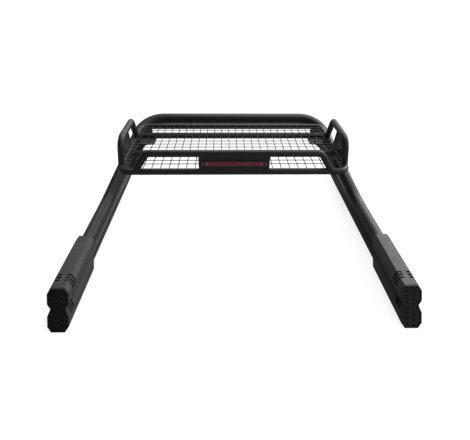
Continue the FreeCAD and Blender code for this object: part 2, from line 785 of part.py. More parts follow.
# end cap: a leaning plate over the rear face, with a rim that enters the cover
CAP_INSET = 0.6
RIM_GAP = 0.3           # rim outside to cover wall
RIM_WALL = 2.5
RIM_DEPTH = 9
CELL_MARGIN = 6.0       # border of the cap left free of cells
cap_outline = lobe_prism("cap_outline", CAP_INSET, OUTER_ROUND)
cap_side = leaning_slab("cap_side", cover_rear, cover_rear + cap_thick,
                        slash_run, slash_run)
cap_plate = common("cap_plate", [cap_outline, cap_side])
rim_outer = lobe_prism("cap_rim_outer", cover_wall + RIM_GAP)
rim_inner = lobe_prism("cap_rim_inner", cover_wall + RIM_GAP + RIM_WALL)
rim_side = leaning_slab("cap_rim_side", cover_rear + cap_thick - 0.5,
                        cover_rear + cap_thick + RIM_DEPTH, slash_run, slash_run)
cap_rim = cut("cap_rim", common("cap_rim_solid", [rim_outer, rim_side]), rim_inner)

# honeycomb cells: hexagons that lie in the lean of the rear face, staggered by
# half a step in every other column
CELL_RUN_IN = 3         # the cutters start this far behind the cap
lean = slash_run.value / cover_top.value
rise, column, rib = (dim(n).value for n in ("cell_rise", "cell_column", "cell_rib"))
half_z = (rise - rib * 0.85) / 2
tip = column * 2 / 3 - rib * 0.58
shoulder = column / 3 - rib * 0.29
cell_depth = cap_thick.value - dim("cap_web").value
CELL_OUTLINE = ((tip, 0), (shoulder, half_z), (-shoulder, half_z), (-tip, 0),
                (-shoulder, -half_z), (shoulder, -half_z), (tip, 0))    # x, z
cells = []
for c in range(-2, 3):
    cell_x = leg_x.value + c * column
    for r in range(-1, 9):
        cell_z = dim("cell_low").value + rise * (r + (0.5 if c % 2 else 0.0))
        outline = [Vector(cell_x + x,
                          cover_rear.value + lean * (cell_z + z) - CELL_RUN_IN,
                          cell_z + z) for x, z in CELL_OUTLINE]
        cells.append(Part.Face(Part.makePolygon(outline)).extrude(
            Vector(0, CELL_RUN_IN + cell_depth, 0)))
cell_rows = shape_of("cap_cells", Part.makeCompound(cells))
cell_limit = lobe_prism("cap_cell_limit", CELL_MARGIN, INNER_ROUND)
cell_tool = common("cap_cell_tool", [cell_limit, cell_rows])
cap_body = fuse("end_cap_body", [cap_plate, cap_rim])
keep_both("end_cap", cut("end_cap_cells", cap_body, cell_tool))

# ---------------------------------------------------------------- basket
bask_z, bask_half = dim("bask_z"), dim("bask_half")
bask_rear, bask_front = dim("bask_rear_y"), dim("bask_front_y")
bask_r = dim("bask_od") / 2
bask_bore_r = bask_r - dim("bask_wall")
CABLE_X, CABLE_Y = 178.0, -61.0     # where the lamp lead enters the rear tube
CABLE_HOLE_R = 5.0
DRAIN_R = 3.0


def ring(name, radius):
    corner = dim("bask_radius")
    return piped_body(
        name, ("YZ_Plane", bask_rear, bask_z, radius), ("XY_Plane", bask_z),
        [(0, bask_rear), (bask_half, bask_rear), (bask_half, bask_front),
         (-bask_half, bask_front), (-bask_half, bask_rear)],
        [None, corner, corner, corner, corner], closed=True)


ring_outer = ring("ring_outer", bask_r)
ring_bore = ring("ring_bore", bask_bore_r)
drains = [cyl("drain%d" % k, x, y, bask_z - 30, DRAIN_R, 30)
          for k, (x, y) in enumerate(((500, bask_rear), (-500, bask_rear),
                                      (500, bask_front), (-500, bask_front)))]
cable_hole = cyl("cable_hole", CABLE_X, CABLE_Y, bask_z + 5, CABLE_HOLE_R, 30)
ring_tool = fuse("ring_tool", [ring_bore, cable_hole] + drains)
keep(cut("basket_frame", ring_outer, ring_tool), "basket_frame")

CROSS_WALL = 1.5
CROSS_SETBACK = 14      # end of a cross member from the side tube axis
cross_r = dim("cross_od") / 2
for end in ("rear", "front"):
    y = dim("cross_%s_y" % end)
    tube = cyl("cross_tube_" + end, -(bask_half - CROSS_SETBACK), y, dim("cross_z"),
               cross_r, bask_half * 2 - 2 * CROSS_SETBACK, "X")
    bore = cyl("cross_bore_" + end, -bask_half, y, dim("cross_z"),
               cross_r - CROSS_WALL, bask_half * 2, "X")
    tool = fuse("cross_tool_" + end, [bore, ring_outer])
    keep(cut("cross_member_" + end, tube, tool), "cross_member_" + end)

# welded floor grid, lengthwise wires below, crosswise wires on top
LONG_WIRES = 26
CROSS_WIRES = 14
FIRST_CROSS_WIRE = 67.0     # from the rear tube
WIRE_SETBACK = 7            # end of a crosswise wire from the side tube axis
wire_r, wire_pitch = dim("wire_d") / 2, dim("wire_pitch")
long_wires = group("wires_long", [
    cyl("wire_long%d" % k, (k - (LONG_WIRES - 1) / 2) * wire_pitch, bask_rear,
        dim("wire_long_z"), wire_r, bask_front - bask_rear, "Y")
    for k in range(LONG_WIRES)])
cross_wires = group("wires_cross", [
    cyl("wire_cross%d" % k, -bask_half + WIRE_SETBACK,
        bask_rear + FIRST_CROSS_WIRE + k * wire_pitch, dim("wire_cross_z"),
        wire_r, bask_half * 2 - 2 * WIRE_SETBACK, "X")
    for k in range(CROSS_WIRES)])

# side rails: tube loops that lean inwards over the side tubes, drawn upright
# in the plane x = 0 and then set in place
rail_rear, rail_top = dim("rail_rear_y"), dim("rail_top")


def lean_in(body):
    body.Placement = Placement(Vector(bask_half.value, 0, bask_z.value),
                               Rotation(Vector(0, 1, 0), -dim("rail_lean").value))
    bind(body, "Placement.Base.x", bask_half)
    bind(body, "Placement.Base.z", bask_z)


def rail(name, radius):
    body = piped_body(
        name, ("XY_Plane", 0, rail_rear, radius), ("YZ_Plane",),
        [(dim("rail_foot_y"), 0), (dim("rail_turn_y"), rail_top),
         (rail_rear, rail_top), (rail_rear, 0)],
        [None, dim("rail_radius"), dim("rail_radius"), None])
    lean_in(body)
    return body


rail_outer = rail("rail_outer", bask_r)
rail_bore = rail("rail_bore", bask_bore_r)
keep_both("side_rail", cut("side_rail", rail_outer,
                           fuse("rail_tool", [rail_bore, ring_outer])))
keep(cut("floor_wires_crosswise", cross_wires,
         fuse("cross_wire_tool", [ring_outer, rail_outer,
                                  mirror("rail_outer_left", rail_outer)])),
     "floor_wires_crosswise")

# sheet infill, drawn into the tubes and trimmed by them
INFILL_EDGE = 6         # from the frame axis and from the top bar axis
infill_low, infill_high = INFILL_EDGE, rail_top - INFILL_EDGE
infill = polygon_body("infill", "YZ_Plane", None, [
    (rail_rear + 3, infill_low), (dim("infill_low_y") + 8, infill_low),
    (dim("infill_top_y") - 8, infill_high), (rail_rear + 3, infill_high)],
    dim("infill_thick"), midplane=True)
lean_in(infill)
keep_both("side_panel", cut("side_panel", infill,
                            fuse("infill_tool", [rail_outer, ring_outer])))


# tube hoop over the rear tube that carries the light box
def panel_tube(name, radius):
    top, corner = dim("panel_z"), dim("panel_radius")
    turn_x, foot_x = dim("panel_corner_x"), dim("panel_foot_x")
    return piped_body(
        name, ("YZ_Plane", bask_rear, top, radius), ("XZ_Plane", -bask_rear),
        [(foot_x, bask_z), (turn_x, top), (0, top), (-turn_x, top), (-foot_x, bask_z)],
        [None, corner, None, corner, None])


panel_outer = panel_tube("panel_outer", bask_r)
panel_bore = panel_tube("panel_bore", bask_bore_r)
keep(cut("light_panel_hoop", panel_outer, fuse("panel_tool", [panel_bore, ring_outer])),
     "light_panel_hoop")
rear_tubes = fuse("rear_tubes", [panel_outer, ring_outer])
keep(cut("floor_wires_lengthwise", long_wires, rear_tubes), "floor_wires_lengthwise")

# ---------------------------------------------------- light box and lamp
# the lamp faces the tailgate, so its depths count from face_y towards +Y
lamp_z = dim("lamp_z")
box_half, box_wall = dim("box_half"), dim("box_wall")
box_rear, box_front = dim("box_rear_y"), dim("box_front_y")
bezel_half, bezel_height = dim("bezel_half"), dim("bezel_height")
lens_half, lens_height = dim("lens_half"), dim("lens_height")
BOX_LOW_Z, BOX_HEIGHT = 478, 101
BACK_LOW_Z, BACK_HEIGHT = 487, 92
BACK_GAP = 0.5              # back panel to the box sides
BACK_THICK = 1.5
GASKET_THICK = 1
BEZEL_THICK = 3
FLANGE_END, FLANGE_SIDE = 14, 4     # bezel overlap at its ends and along its length
TRAY_GAP = 0.5              # tray to the edge of the window
TRAY_DEPTH = 21
LENS_GAP = 0.2
LENS_PROUD = 2              # lens face behind the bezel face, towards the tailgate
LENS_DEPTH = 10
LENS_WALL = 3
BOARD_DEPTH = 15            # rear face of the circuit board from face_y
BOARD_THICK = 1.6
LED_COUNT, LED_PITCH = 20, 14.0
LED_SIZE, LED_THICK = 4, 1.4
POST_R = 4.0                # lens posts and tray bosses
BEZEL_SCREW_X = (-180.0, 180.0)     # bezel to light box
LENS_SCREW_X = (-155.0, 155.0)      # lens to tray, through the board
SCREW_BORE_R = 1.7
SCREW_R = 1.6
SCREW_HEAD_R, SCREW_HEAD = 3.0, 1.8
LENS_SCREW_LENGTH, BEZEL_SCREW_LENGTH = 22.0, 7.5
face_y = box_rear - (GASKET_THICK + BEZEL_THICK)


def lamp_block(name, half_length, y, depth, height):
    """Block centred on the lamp axis."""
    return box(name, -half_length, y, lamp_z - height / 2, half_length * 2, depth, height)


def lamp_window(name, y, depth):
    return lamp_block(name, bezel_half - FLANGE_END, y, depth,
                      bezel_height - 2 * FLANGE_SIDE)


def lamp_rods(name, places, y, radius, length):
    """Cylinders along Y at the given x places on the lamp axis."""
    return [cyl("%s%d" % (name, k), x, y, lamp_z, radius, length, "Y")
            for k, x in enumerate(places)]


# light box between the two tubes: folded sheet, open towards the cab
blank = box("box_blank", -box_half, box_rear, BOX_LOW_Z, box_half * 2,
            box_front - box_rear, BOX_HEIGHT)
hollow = box("box_hollow", -box_half + box_wall, box_rear + box_wall, 470,
             box_half * 2 - box_wall * 2, 60, 120)
window = lamp_window("box_window", box_rear - 5, 12)
pilots = lamp_rods("pilot", BEZEL_SCREW_X, box_rear - 5, SCREW_BORE_R, 12)
box_tool = fuse("box_tool", [hollow, window, rear_tubes] + pilots)
keep(cut("light_box", blank, box_tool), "light_box")

back = box("back_blank", -box_half + box_wall + BACK_GAP, box_front - 3, BACK_LOW_Z,
           box_half * 2 - box_wall * 2 - 2 * BACK_GAP, BACK_THICK, BACK_HEIGHT)
keep(cut("light_box_back", back, rear_tubes), "light_box_back")

# gasket between bezel and box
gasket = lamp_block("gasket_blank", bezel_half, box_rear - GASKET_THICK, GASKET_THICK,
                    bezel_height)
gasket_hole = lamp_window("gasket_hole", box_rear - 6, 20)
gasket_bores = lamp_rods("gasket_bore", BEZEL_SCREW_X, box_rear - 5, SCREW_BORE_R, 20)
keep(cut("lamp_gasket", gasket, fuse("gasket_tool", [gasket_hole] + gasket_bores)),
     "lamp_gasket")

# housing: bezel with its tray, bosses in the tray floor, a hole for the lead
LEAD_X = 120                # where the lead leaves the tray
LEAD_HOLE_R = 3.2
bezel = lamp_block("bezel_blank", bezel_half, face_y, BEZEL_THICK, bezel_height)
tray = lamp_block("tray_blank", bezel_half - (FLANGE_END + TRAY_GAP),
                  face_y + BEZEL_THICK, TRAY_DEPTH,
                  bezel_height - 2 * (FLANGE_SIDE + TRAY_GAP))
tray_hollow = lamp_block("tray_hollow", lens_half + LENS_GAP, face_y - 5, 26,
                         lens_height + 2 * LENS_GAP)
lead_hole = cyl("lead_hole", LEAD_X, face_y + 15, lamp_z, LEAD_HOLE_R, 30, "Y")
bezel_bores = lamp_rods("bezel_bore", BEZEL_SCREW_X, face_y - 5, SCREW_BORE_R, 20)
tray_bosses = lamp_rods("tray_boss", LENS_SCREW_X, face_y + (BOARD_DEPTH + BOARD_THICK),
                        POST_R, 5.4)
tray_bores = lamp_rods("tray_boss_bore", LENS_SCREW_X, face_y + 12, SCREW_BORE_R, 9.5)
tray_open = cut("tray_open", fuse("lamp_body", [bezel, tray]), tray_hollow)
keep(cut("lamp_housing", fuse("lamp_tray", [tray_open] + tray_bosses),
         fuse("lamp_tool", [lead_hole] + bezel_bores + tray_bores)), "lamp_housing")

# circuit board with its row of LEDs
board = lamp_block("board", lens_half - 4, face_y + BOARD_DEPTH, BOARD_THICK,
                   lens_height - 4)
board_bores = lamp_rods("board_bore", LENS_SCREW_X, face_y + 10, SCREW_BORE_R, 12)
keep(cut("lamp_circuit_board", board, group("board_tool", board_bores)),
     "lamp_circuit_board")
leds = [box("led%d" % k, (k - (LED_COUNT - 1) / 2) * LED_PITCH - LED_SIZE / 2,
            face_y + (BOARD_DEPTH - LED_THICK), lamp_z - LED_SIZE / 2,
            LED_SIZE, LED_THICK, LED_SIZE)
        for k in range(LED_COUNT)]
keep(group("leds", leds), "lamp_leds")

# lens: hollow block with two posts that reach to the board
lens_body = lamp_block("lens_outer", lens_half, face_y - LENS_PROUD, LENS_DEPTH, lens_height)
lens_room = lamp_block("lens_room", lens_half - LENS_WALL,
                       face_y + (LENS_WALL - LENS_PROUD), 20, lens_height - 2 * LENS_WALL)
posts = lamp_rods("lens_post", LENS_SCREW_X, face_y, POST_R, BOARD_DEPTH - 0.1)
post_bores = lamp_rods("lens_bore", LENS_SCREW_X, face_y - 6, SCREW_BORE_R, 30)
lens_shell = cut("lens_shell", lens_body, lens_room)
keep(cut("lens_cut", fuse("lens_body", [lens_shell] + posts),
         group("lens_bores", post_bores)), "lamp_lens")

lamp_screws = []
for k, x in enumerate(sorted(BEZEL_SCREW_X + LENS_SCREW_X)):
    in_lens = x in LENS_SCREW_X
    seat_y = face_y - LENS_PROUD if in_lens else face_y
    length = LENS_SCREW_LENGTH if in_lens else BEZEL_SCREW_LENGTH
    head = cyl("lamp_head%d" % k, x, seat_y - SCREW_HEAD, lamp_z, SCREW_HEAD_R,
               SCREW_HEAD, "Y")
    shank = cyl("lamp_shank%d" % k, x, seat_y, lamp_z, SCREW_R, length, "Y")
    lamp_screws.append(fuse("lamp_screw%d" % k, [head, shank]))
keep(group("lamp_screws", lamp_screws), "lamp_screws")

# the lead drops through a grommet into the rear basket tube
LEAD_R = 2.5
LEAD_BEND = 12.0
LEAD_END_X = 300.0
CONNECTOR_LENGTH, CONNECTOR_SIDE = 22, 10
lead_corners = [
    point(LEAD_X, CABLE_Y, lamp_z), point(CABLE_X, CABLE_Y, lamp_z),
    point(CABLE_X, CABLE_Y, bask_z), point(LEAD_END_X, CABLE_Y, bask_z)]
keep(shape_of("lead", swept(lead_corners, [0, LEAD_BEND, LEAD_BEND, 0], LEAD_R)),
     "lamp_lead")
grommet = fuse("grommet_solid", [
    cyl("grommet_body", CABLE_X, CABLE_Y, 484.5, CABLE_HOLE_R - 0.1, 9),
    cyl("grommet_top", CABLE_X, CABLE_Y, 491.2, 7.5, 2.5)])
grommet_bore = cyl("grommet_bore", CABLE_X, CABLE_Y, 470, LEAD_R + 0.1, 40)
keep(cut("grommet", grommet, grommet_bore), "lead_grommet")
keep(box("connector", LEAD_END_X, CABLE_Y - CONNECTOR_SIDE / 2,
         bask_z - CONNECTOR_SIDE / 2, CONNECTOR_LENGTH, CONNECTOR_SIDE, CONNECTOR_SIDE),
     "lead_connector")

# ------------------------------------------- what carries the basket
bolt_r, bolt_flats, bolt_head = dim("bolt_d") / 2, dim("bolt_af"), dim("bolt_head")
NUT_HEIGHT = 6.5
NUT_BORE_GAP = 0.05
BOLT_TAIL = 9               # shank beyond the two plates it clamps


def bolt_and_nut(name, seat, axis, grip):
    """Bolt with its head under the seat point, and the nut past the grip."""
    along = "XYZ".index(axis)

    def at(distance):
        place = list(seat)
        place[along] = place[along] + distance
        return place

    head = hex_prism(name + "_head", *at(-bolt_head), bolt_flats, bolt_head, axis)
    shank = cyl(name + "_shank", *seat, bolt_r, grip + BOLT_TAIL, axis)
    nut_hex = hex_prism(name + "_nut_hex", *at(grip), bolt_flats, NUT_HEIGHT, axis)
    nut_bore = cyl(name + "_nut_bore", *seat, bolt_r + NUT_BORE_GAP, 30, axis)
    return fuse(name, [head, shank]), cut(name + "_nut", nut_hex, nut_bore)


def keep_fasteners(label, name, seats, axis, grip):
    """Bolts and nuts at the seats and their mirror images, as two nodes."""
    bolts, nuts = [], []
    for k, seat in enumerate(seats):
        bolt, nut = bolt_and_nut("%s%d" % (name, k), seat, axis, grip)
        bolts += with_mirror("%s%d" % (name, k), bolt)
        nuts += with_mirror("%s%d_nut" % (name, k), nut)
    keep(group(label + "_bolts", bolts), label + "_bolts")
    keep(group(label + "_nuts", nuts), label + "_nuts")


# plate under the basket frame, behind the front cross member
strut_x, strut_y = dim("strut_x"), dim("strut_y")
plate_t = dim("plate_t")
plate_z = bask_z - bask_r - plate_t
tab_z = plate_z - plate_t
STRUT_BOLTS = (-28.0, 33.0)         # x from the strut head
strut_bolt_x = [strut_x + offset for offset in STRUT_BOLTS]
plate = polygon_body("support_plate", "XY_Plane", plate_z, rectangle(
    dim("plate_x0"), dim("plate_y0"), dim("plate_x1"), dim("plate_y1")), plate_t)
drill(plate, "support_plate", plate_z, [(x, strut_y) for x in strut_bolt_x],
      clear_r, plate_t)
cross_keepout = cyl("cross_keepout", -bask_half, dim("cross_front_y"), dim("cross_z"),
                    cross_r, bask_half * 2, "X")
keep_both("basket_support_plate",
          cut("support_plate", plate, fuse("support_tool", [cross_keepout, ring_outer])))

# strut: tube coped to the saddle, with a drilled tab welded on its head
STRUT_TAB_LENGTH, STRUT_TAB_WIDTH = 80, 48
STRUT_WALL = 2
SADDLE_WALL = 5
saddle_r = tube_r.value + SADDLE_WALL
strut_r = dim("strut_od").value / 2
strut_tab = box("strut_tab", strut_x - STRUT_TAB_LENGTH / 2, strut_y - STRUT_TAB_WIDTH / 2,
                tab_z, STRUT_TAB_LENGTH, STRUT_TAB_WIDTH, plate_t)
tab_holes = [cyl("strut_tab_hole%d" % k, x, strut_y, plate_z - 20, clear_r, 40)
             for k, x in enumerate(strut_bolt_x)]
strut_length = (strut_head - strut_foot).Length
strut_dir = (strut_head - strut_foot).normalize()
strut_outer = shape_of("strut_outer", Part.makeCylinder(
    strut_r, strut_length + 20, strut_foot, strut_dir))
strut_inner = shape_of("strut_inner", Part.makeCylinder(
    strut_r - STRUT_WALL, strut_length + 40, strut_foot - strut_dir * 10, strut_dir))
above_tab = box("strut_above", strut_x - 100, strut_y - 100, tab_z, 200, 200, 60)
saddle_skin = shape_of("saddle_skin", Part.makeCylinder(
    saddle_r, 160, strut_foot - climb_dir * 80, climb_dir))
strut_tube = cut("strut_tube", strut_outer,
                 fuse("strut_tool", [strut_inner, above_tab, saddle_skin]))
keep_both("support_strut", cut("strut_cut", fuse("strut_solid", [strut_tube, strut_tab]),
                               group("strut_tab_holes", tab_holes)))

# saddle: curved plate on the climbing tube, cut to size by a block whose axes
# run along the tube, across it and towards the basket
SADDLE_PLATE_LENGTH, SADDLE_PLATE_WIDTH = 80, 64
across = climb_dir.cross(facing)
block = Part.makeBox(SADDLE_PLATE_LENGTH, SADDLE_PLATE_WIDTH, 60)
saddle_frame = FreeCAD.Matrix(
    climb_dir.x, across.x, facing.x, 0,
    climb_dir.y, across.y, facing.y, 0,
    climb_dir.z, across.z, facing.z, 0,
    0, 0, 0, 1)
block.translate(Vector(-SADDLE_PLATE_LENGTH / 2, -SADDLE_PLATE_WIDTH / 2, 8))
block = block.transformGeometry(saddle_frame)
block.translate(strut_foot)
skin = Part.makeCylinder(saddle_r, 80, strut_foot - climb_dir * 40, climb_dir)
bore = Part.makeCylinder(tube_r.value, 90, strut_foot - climb_dir * 45, climb_dir)
saddle = skin.cut(bore).common(block)
for offset in SADDLE_BOLTS:
    saddle = saddle.cut(Part.makeCylinder(
        clear_r.value, 80, strut_foot + climb_dir * offset, facing))
keep_both("strut_saddle", shape_of("strut_saddle", saddle))


def hex_head(base, axis, flats, height):
    """Hexagonal head standing on its base point along any direction."""
    outline = []
    for k in range(7):
        angle = math.radians(60 * k)
        outline.append(Vector(flats / math.sqrt(3) * math.cos(angle),
                              flats / math.sqrt(3) * math.sin(angle), 0))
    head = Part.Face(Part.makePolygon(outline)).extrude(Vector(0, 0, height))
    head.Placement = Placement(base, Rotation(Vector(0, 0, 1), axis))
    return head


# two bolts through each saddle into the tube wall
SADDLE_SHANK = 16.5
saddle_bolts = []
for offset in SADDLE_BOLTS:
    base = strut_foot + climb_dir * offset
    head = hex_head(base + facing * (saddle_r + 0.4), facing,
                    bolt_flats.value, bolt_head.value)
    shank = Part.makeCylinder(bolt_r.value, SADDLE_SHANK,
                              base + facing * (tube_r.value - 11), facing)
    saddle_bolts.append(head.fuse(shank))
keep(shape_of("saddle_bolts", Part.makeCompound(mirrored_pair(saddle_bolts))),
     "saddle_bolts")

keep_fasteners("strut", "strut_bolt", [(x, strut_y, tab_z) for x in strut_bolt_x],
               "Z", 2 * plate_t)

# two pairs of drilled plates join the basket to the hoop
TAB_BOLT_Y = (709.0, 727.0)
TAB_HEIGHT = 26
BASKET_TAB_LENGTH = 62
HOOP_TAB_REAR_Y = 704
tab_x, tab_t = dim("tab_x"), dim("tab_t")
for name, x, y, length, tube in (
        ("basket_tab", tab_x, bask_front, BASKET_TAB_LENGTH, ring_outer),
        ("hoop_tab", tab_x + tab_t, HOOP_TAB_REAR_Y, dim("hoop_y") - HOOP_TAB_REAR_Y,
         hoop_outer)):
    blank = box(name + "_blank", x, y, bask_z - TAB_HEIGHT / 2, tab_t, length, TAB_HEIGHT)
    holes = [cyl("%s_hole%d" % (name, k), tab_x - 20, bolt_y, bask_z, clear_r, 60, "X")
             for k, bolt_y in enumerate(TAB_BOLT_Y)]
    keep_both(name, cut(name, blank, fuse(name + "_tool", [tube] + holes)))
keep_fasteners("bracket", "tab_bolt", [(tab_x, y, bask_z) for y in TAB_BOLT_Y],
               "X", 2 * tab_t)

# ------------------------------------------------------ check and write
doc.recompute()
bad = [(o.Name, o.Label, o.State) for o in doc.Objects
       if "Invalid" in o.State or "Error" in o.State]
labels = [o.Label for o in SUBPARTS]
if len(set(labels)) != len(labels):
    bad.append(("labels repeat", sorted(l for l in labels if labels.count(l) > 1)))
for part in SUBPARTS:
    shape = part.Shape
    if shape.isNull() or not shape.isValid() or not shape.Solids or shape.Volume <= 0:
        bad.append((part.Label, "shape"))
if bad:
    for problem in bad:
        print("BAD", problem)
    sys.exit(1)
os.makedirs("parts", exist_ok=True)
for part in SUBPARTS:
    part.Shape.exportStep(os.path.join("parts", part.Label + ".step"))
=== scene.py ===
import bpy
import bmesh
import json
import math
from mathutils import Matrix, Vector, noise
from mathutils.bvhtree import BVHTree


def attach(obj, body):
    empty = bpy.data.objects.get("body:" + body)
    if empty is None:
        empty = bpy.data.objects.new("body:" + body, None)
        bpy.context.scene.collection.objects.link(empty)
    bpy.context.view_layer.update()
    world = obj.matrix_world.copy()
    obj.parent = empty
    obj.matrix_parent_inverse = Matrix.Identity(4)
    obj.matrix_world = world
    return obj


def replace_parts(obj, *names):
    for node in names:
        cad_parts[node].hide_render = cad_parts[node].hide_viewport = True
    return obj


MM = 0.001
SIDES = (-1, 1)                 # left (-X), right (+X)
LAMP_Z = 530.0                  # mm, height of the lamp's centre line

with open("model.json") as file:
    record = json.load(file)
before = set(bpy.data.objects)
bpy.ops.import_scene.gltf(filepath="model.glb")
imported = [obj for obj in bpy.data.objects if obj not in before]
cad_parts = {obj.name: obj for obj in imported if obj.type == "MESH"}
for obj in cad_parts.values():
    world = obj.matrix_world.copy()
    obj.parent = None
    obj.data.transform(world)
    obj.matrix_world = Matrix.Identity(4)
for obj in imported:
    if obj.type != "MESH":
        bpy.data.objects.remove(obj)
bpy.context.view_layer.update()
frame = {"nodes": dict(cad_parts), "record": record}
nodes = frame["nodes"]


# ------------------------------------------------------------ shader nodes
class Shading:
    """Node tree of one material or world; each method adds nodes and returns a socket."""

    def __init__(self, owner, output="ShaderNodeOutputMaterial", space="Object"):
        self.owner = owner
        owner.use_nodes = True
        self.tree = owner.node_tree
        self.tree.nodes.clear()
        self.surface = self.tree.nodes.new(output).inputs["Surface"]
        self.position = self.add("TexCoord", out=space)

    def add(self, kind, inputs=None, out=0, **settings):
        """Add a node, link or set its inputs, and return the output named by out."""
        node = self.tree.nodes.new("ShaderNode" + kind)
        for key, value in settings.items():
            setattr(node, key, value)
        for key, value in (inputs or {}).items():
            if isinstance(value, bpy.types.NodeSocket):
                self.tree.links.new(value, node.inputs[key])
            else:
                node.inputs[key].default_value = value
        return node.outputs[out]

    def finish(self, shader):
        self.tree.links.new(shader, self.surface)
        return self.owner

    def principled(self, inputs):
        return self.finish(self.add("BsdfPrincipled", inputs))

    def stretched(self, factors):
        return self.add("Mapping", {"Scale": factors, "Vector": self.position})

    def noise(self, scale, detail, rough, stretch=None, distortion=0.0,
              between=None, onto=(0.0, 1.0)):
        """Noise, remapped when between is given."""
        vector = self.stretched(stretch) if stretch else self.position
        value = self.add("TexNoise", {"Scale": scale, "Detail": detail, "Roughness": rough,
                                      "Distortion": distortion, "Vector": vector}, "Fac")
        return self.remap(value, between, onto) if between else value

    def cells(self, scale, smooth):
        return self.add("TexVoronoi", {"Scale": scale, "Smoothness": smooth,
                                       "Vector": self.position}, "Distance",
                        feature="SMOOTH_F1")

    def bands(self, scale):
        return self.add("TexWave", {"Scale": scale, "Vector": self.position}, "Fac",
                        wave_type="BANDS", bands_direction="X")

    def thin_lines(self, value, peak, half_width=0.015):
        """1 where value is at peak, 0 beyond half_width on either side."""
        stops = ((0.0, 0), (peak - half_width, 0), (peak, 1), (peak + half_width, 0))
        colour = self.add("ValToRGB", {"Fac": value})
        ramp = colour.node.color_ramp
        while len(ramp.elements) < len(stops):
            ramp.elements.new(0.5)
        for element, (position, level) in zip(ramp.elements, stops):
            element.position = position
            element.color = (level, level, level, 1)
        return colour

    def maths(self, operation, first, second=0.0, clamp=False):
        return self.add("Math", {0: first, 1: second}, operation=operation, use_clamp=clamp)

    def times(self, value, by):
        return self.maths("MULTIPLY", value, by)

    def remap(self, value, between, onto=(0.0, 1.0), interpolation="LINEAR"):
        return self.add("MapRange", {"Value": value,
                                     "From Min": between[0], "From Max": between[1],
                                     "To Min": onto[0], "To Max": onto[1]}, "Result",
                        interpolation_type=interpolation)

    def mix(self, mask, first, second, amount=None):
        """First colour where mask is 0, second where it is 1; amount weakens the mask."""
        if amount is not None:
            mask = self.times(mask, by=amount)
        first, second = ((*colour, 1.0) if isinstance(colour, tuple) else colour
                         for colour in (first, second))
        # inputs 6 and 7 and output 2 are the colour sockets
        return self.add("Mix", {"Factor": mask, 6: first, 7: second}, 2, data_type="RGBA")

    def scaled(self, colour, factor):
        return self.add("VectorMath", {0: colour, "Scale": factor}, operation="SCALE")

    def bump(self, height, distance, strength, normal=None):
        inputs = {"Distance": distance, "Strength": strength, "Height": height}
        if normal is not None:
            inputs["Normal"] = normal
        return self.add("Bump", inputs)

    def upward(self):
        """1 where the surface faces the sky, 0 where it faces down."""
        normal = self.add("NewGeometry", out="Normal")
        return self.remap(self.add("SeparateXYZ", {0: normal}, "Z"), between=(-0.2, 1.0))

    def rounded(self, radius):
        """Normal that rounds the edges."""
        return self.add("Bevel", {"Radius": radius}, samples=4)

    def corners(self, rounded):
        """1 on the edges that the rounded normal bends, 0 on flat surfaces."""
        normal = self.add("NewGeometry", out="Normal")
        match = self.add("VectorMath", {0: rounded, 1: normal}, "Value",
                         operation="DOT_PRODUCT")
        return self.remap(match, between=(0.995, 0.80))

    def painted_crevice_shade(self, reach, power, floor):
        """Painted shade: 1 on open surfaces, falling towards floor inside grooves and slots
        where shade falls.
        """
        seen = self.add("AmbientOcclusion", {"Distance": reach}, "AO", samples=6)
        seen = self.maths("POWER", self.remap(seen, between=(0.35, 0.92)), power)
        return self.remap(seen, between=(0.0, 1.0), onto=(floor, 1.0))


def new_material(name):
    return Shading(bpy.data.materials.new(name))


def grey(level, tint=(1.0, 1.0, 1.0)):
    return tuple(level * channel for channel in tint)


# ---------------------------------------------------------------- materials
# base is a grey level, rough the mean roughness, grain the scale of the surface grain and
# edge_mm the radius of the rounded edges.
def powder_coat(name, base, rough, grain=1500.0, wear=0.35, edge_mm=0.9):
    """Satin powder coat: fine orange peel, cloudy gloss, dust with painted top light on
    upward faces, rubbed corners.
    """
    mat = new_material(name)
    tint = (1, 1, 1.03)
    rounded = mat.rounded(edge_mm * MM)
    corner = mat.corners(rounded)
    peel = mat.noise(scale=grain, detail=2.0, rough=0.5)
    pebble = mat.cells(scale=grain * 0.62, smooth=0.6)

    speck = mat.noise(scale=620.0, detail=2.0, rough=0.7, between=(0.35, 0.7))
    colour = mat.mix(speck, grey(base * 0.86, tint), grey(base * 1.22, tint))
    colour = mat.scaled(colour, mat.noise(scale=5.0, detail=4.0, rough=0.6,
                                          between=(0.3, 0.7), onto=(0.80, 1.22)))
    # Dust on upward faces, partly painted top light: upward-facing surfaces are lightened in
    # colour.
    dust_and_top_light = mat.times(mat.upward(), by=mat.noise(scale=16.0, detail=5.0, rough=0.7,
                                                between=(0.42, 0.72)))
    colour = mat.mix(dust_and_top_light, colour, (0.42, 0.40, 0.37), amount=0.025)
    rub = mat.times(corner, by=mat.noise(scale=75.0, detail=4.0, rough=0.65,
                                         between=(0.46, 0.62)))
    rub = mat.times(rub, by=wear)
    colour = mat.mix(rub, colour, (0.17, 0.17, 0.175))
    streak = mat.noise(scale=9.0, detail=2.0, rough=0.5, stretch=(1.0, 26.0, 26.0),
                       distortion=0.3)
    colour = mat.mix(mat.thin_lines(streak, peak=0.72), colour, grey(0.30),
                     amount=0.16 * wear)

    gloss = mat.noise(scale=38.0, detail=3.0, rough=0.6, between=(0.3, 0.7),
                      onto=(rough - 0.045, rough + 0.055))
    gloss = mat.maths("ADD", gloss, mat.times(dust_and_top_light, by=0.05))
    gloss = mat.maths("SUBTRACT", gloss, mat.times(rub, by=0.12), clamp=True)
    normal = mat.bump(peel, distance=0.00016, strength=0.55, normal=rounded)
    normal = mat.bump(pebble, distance=0.00010, strength=0.45, normal=normal)
    return mat.principled({"Base Color": colour, "Roughness": gloss,
                           "Specular IOR Level": 0.46, "Normal": normal,
                           "Coat Weight": 0.06, "Coat Roughness": 0.35})


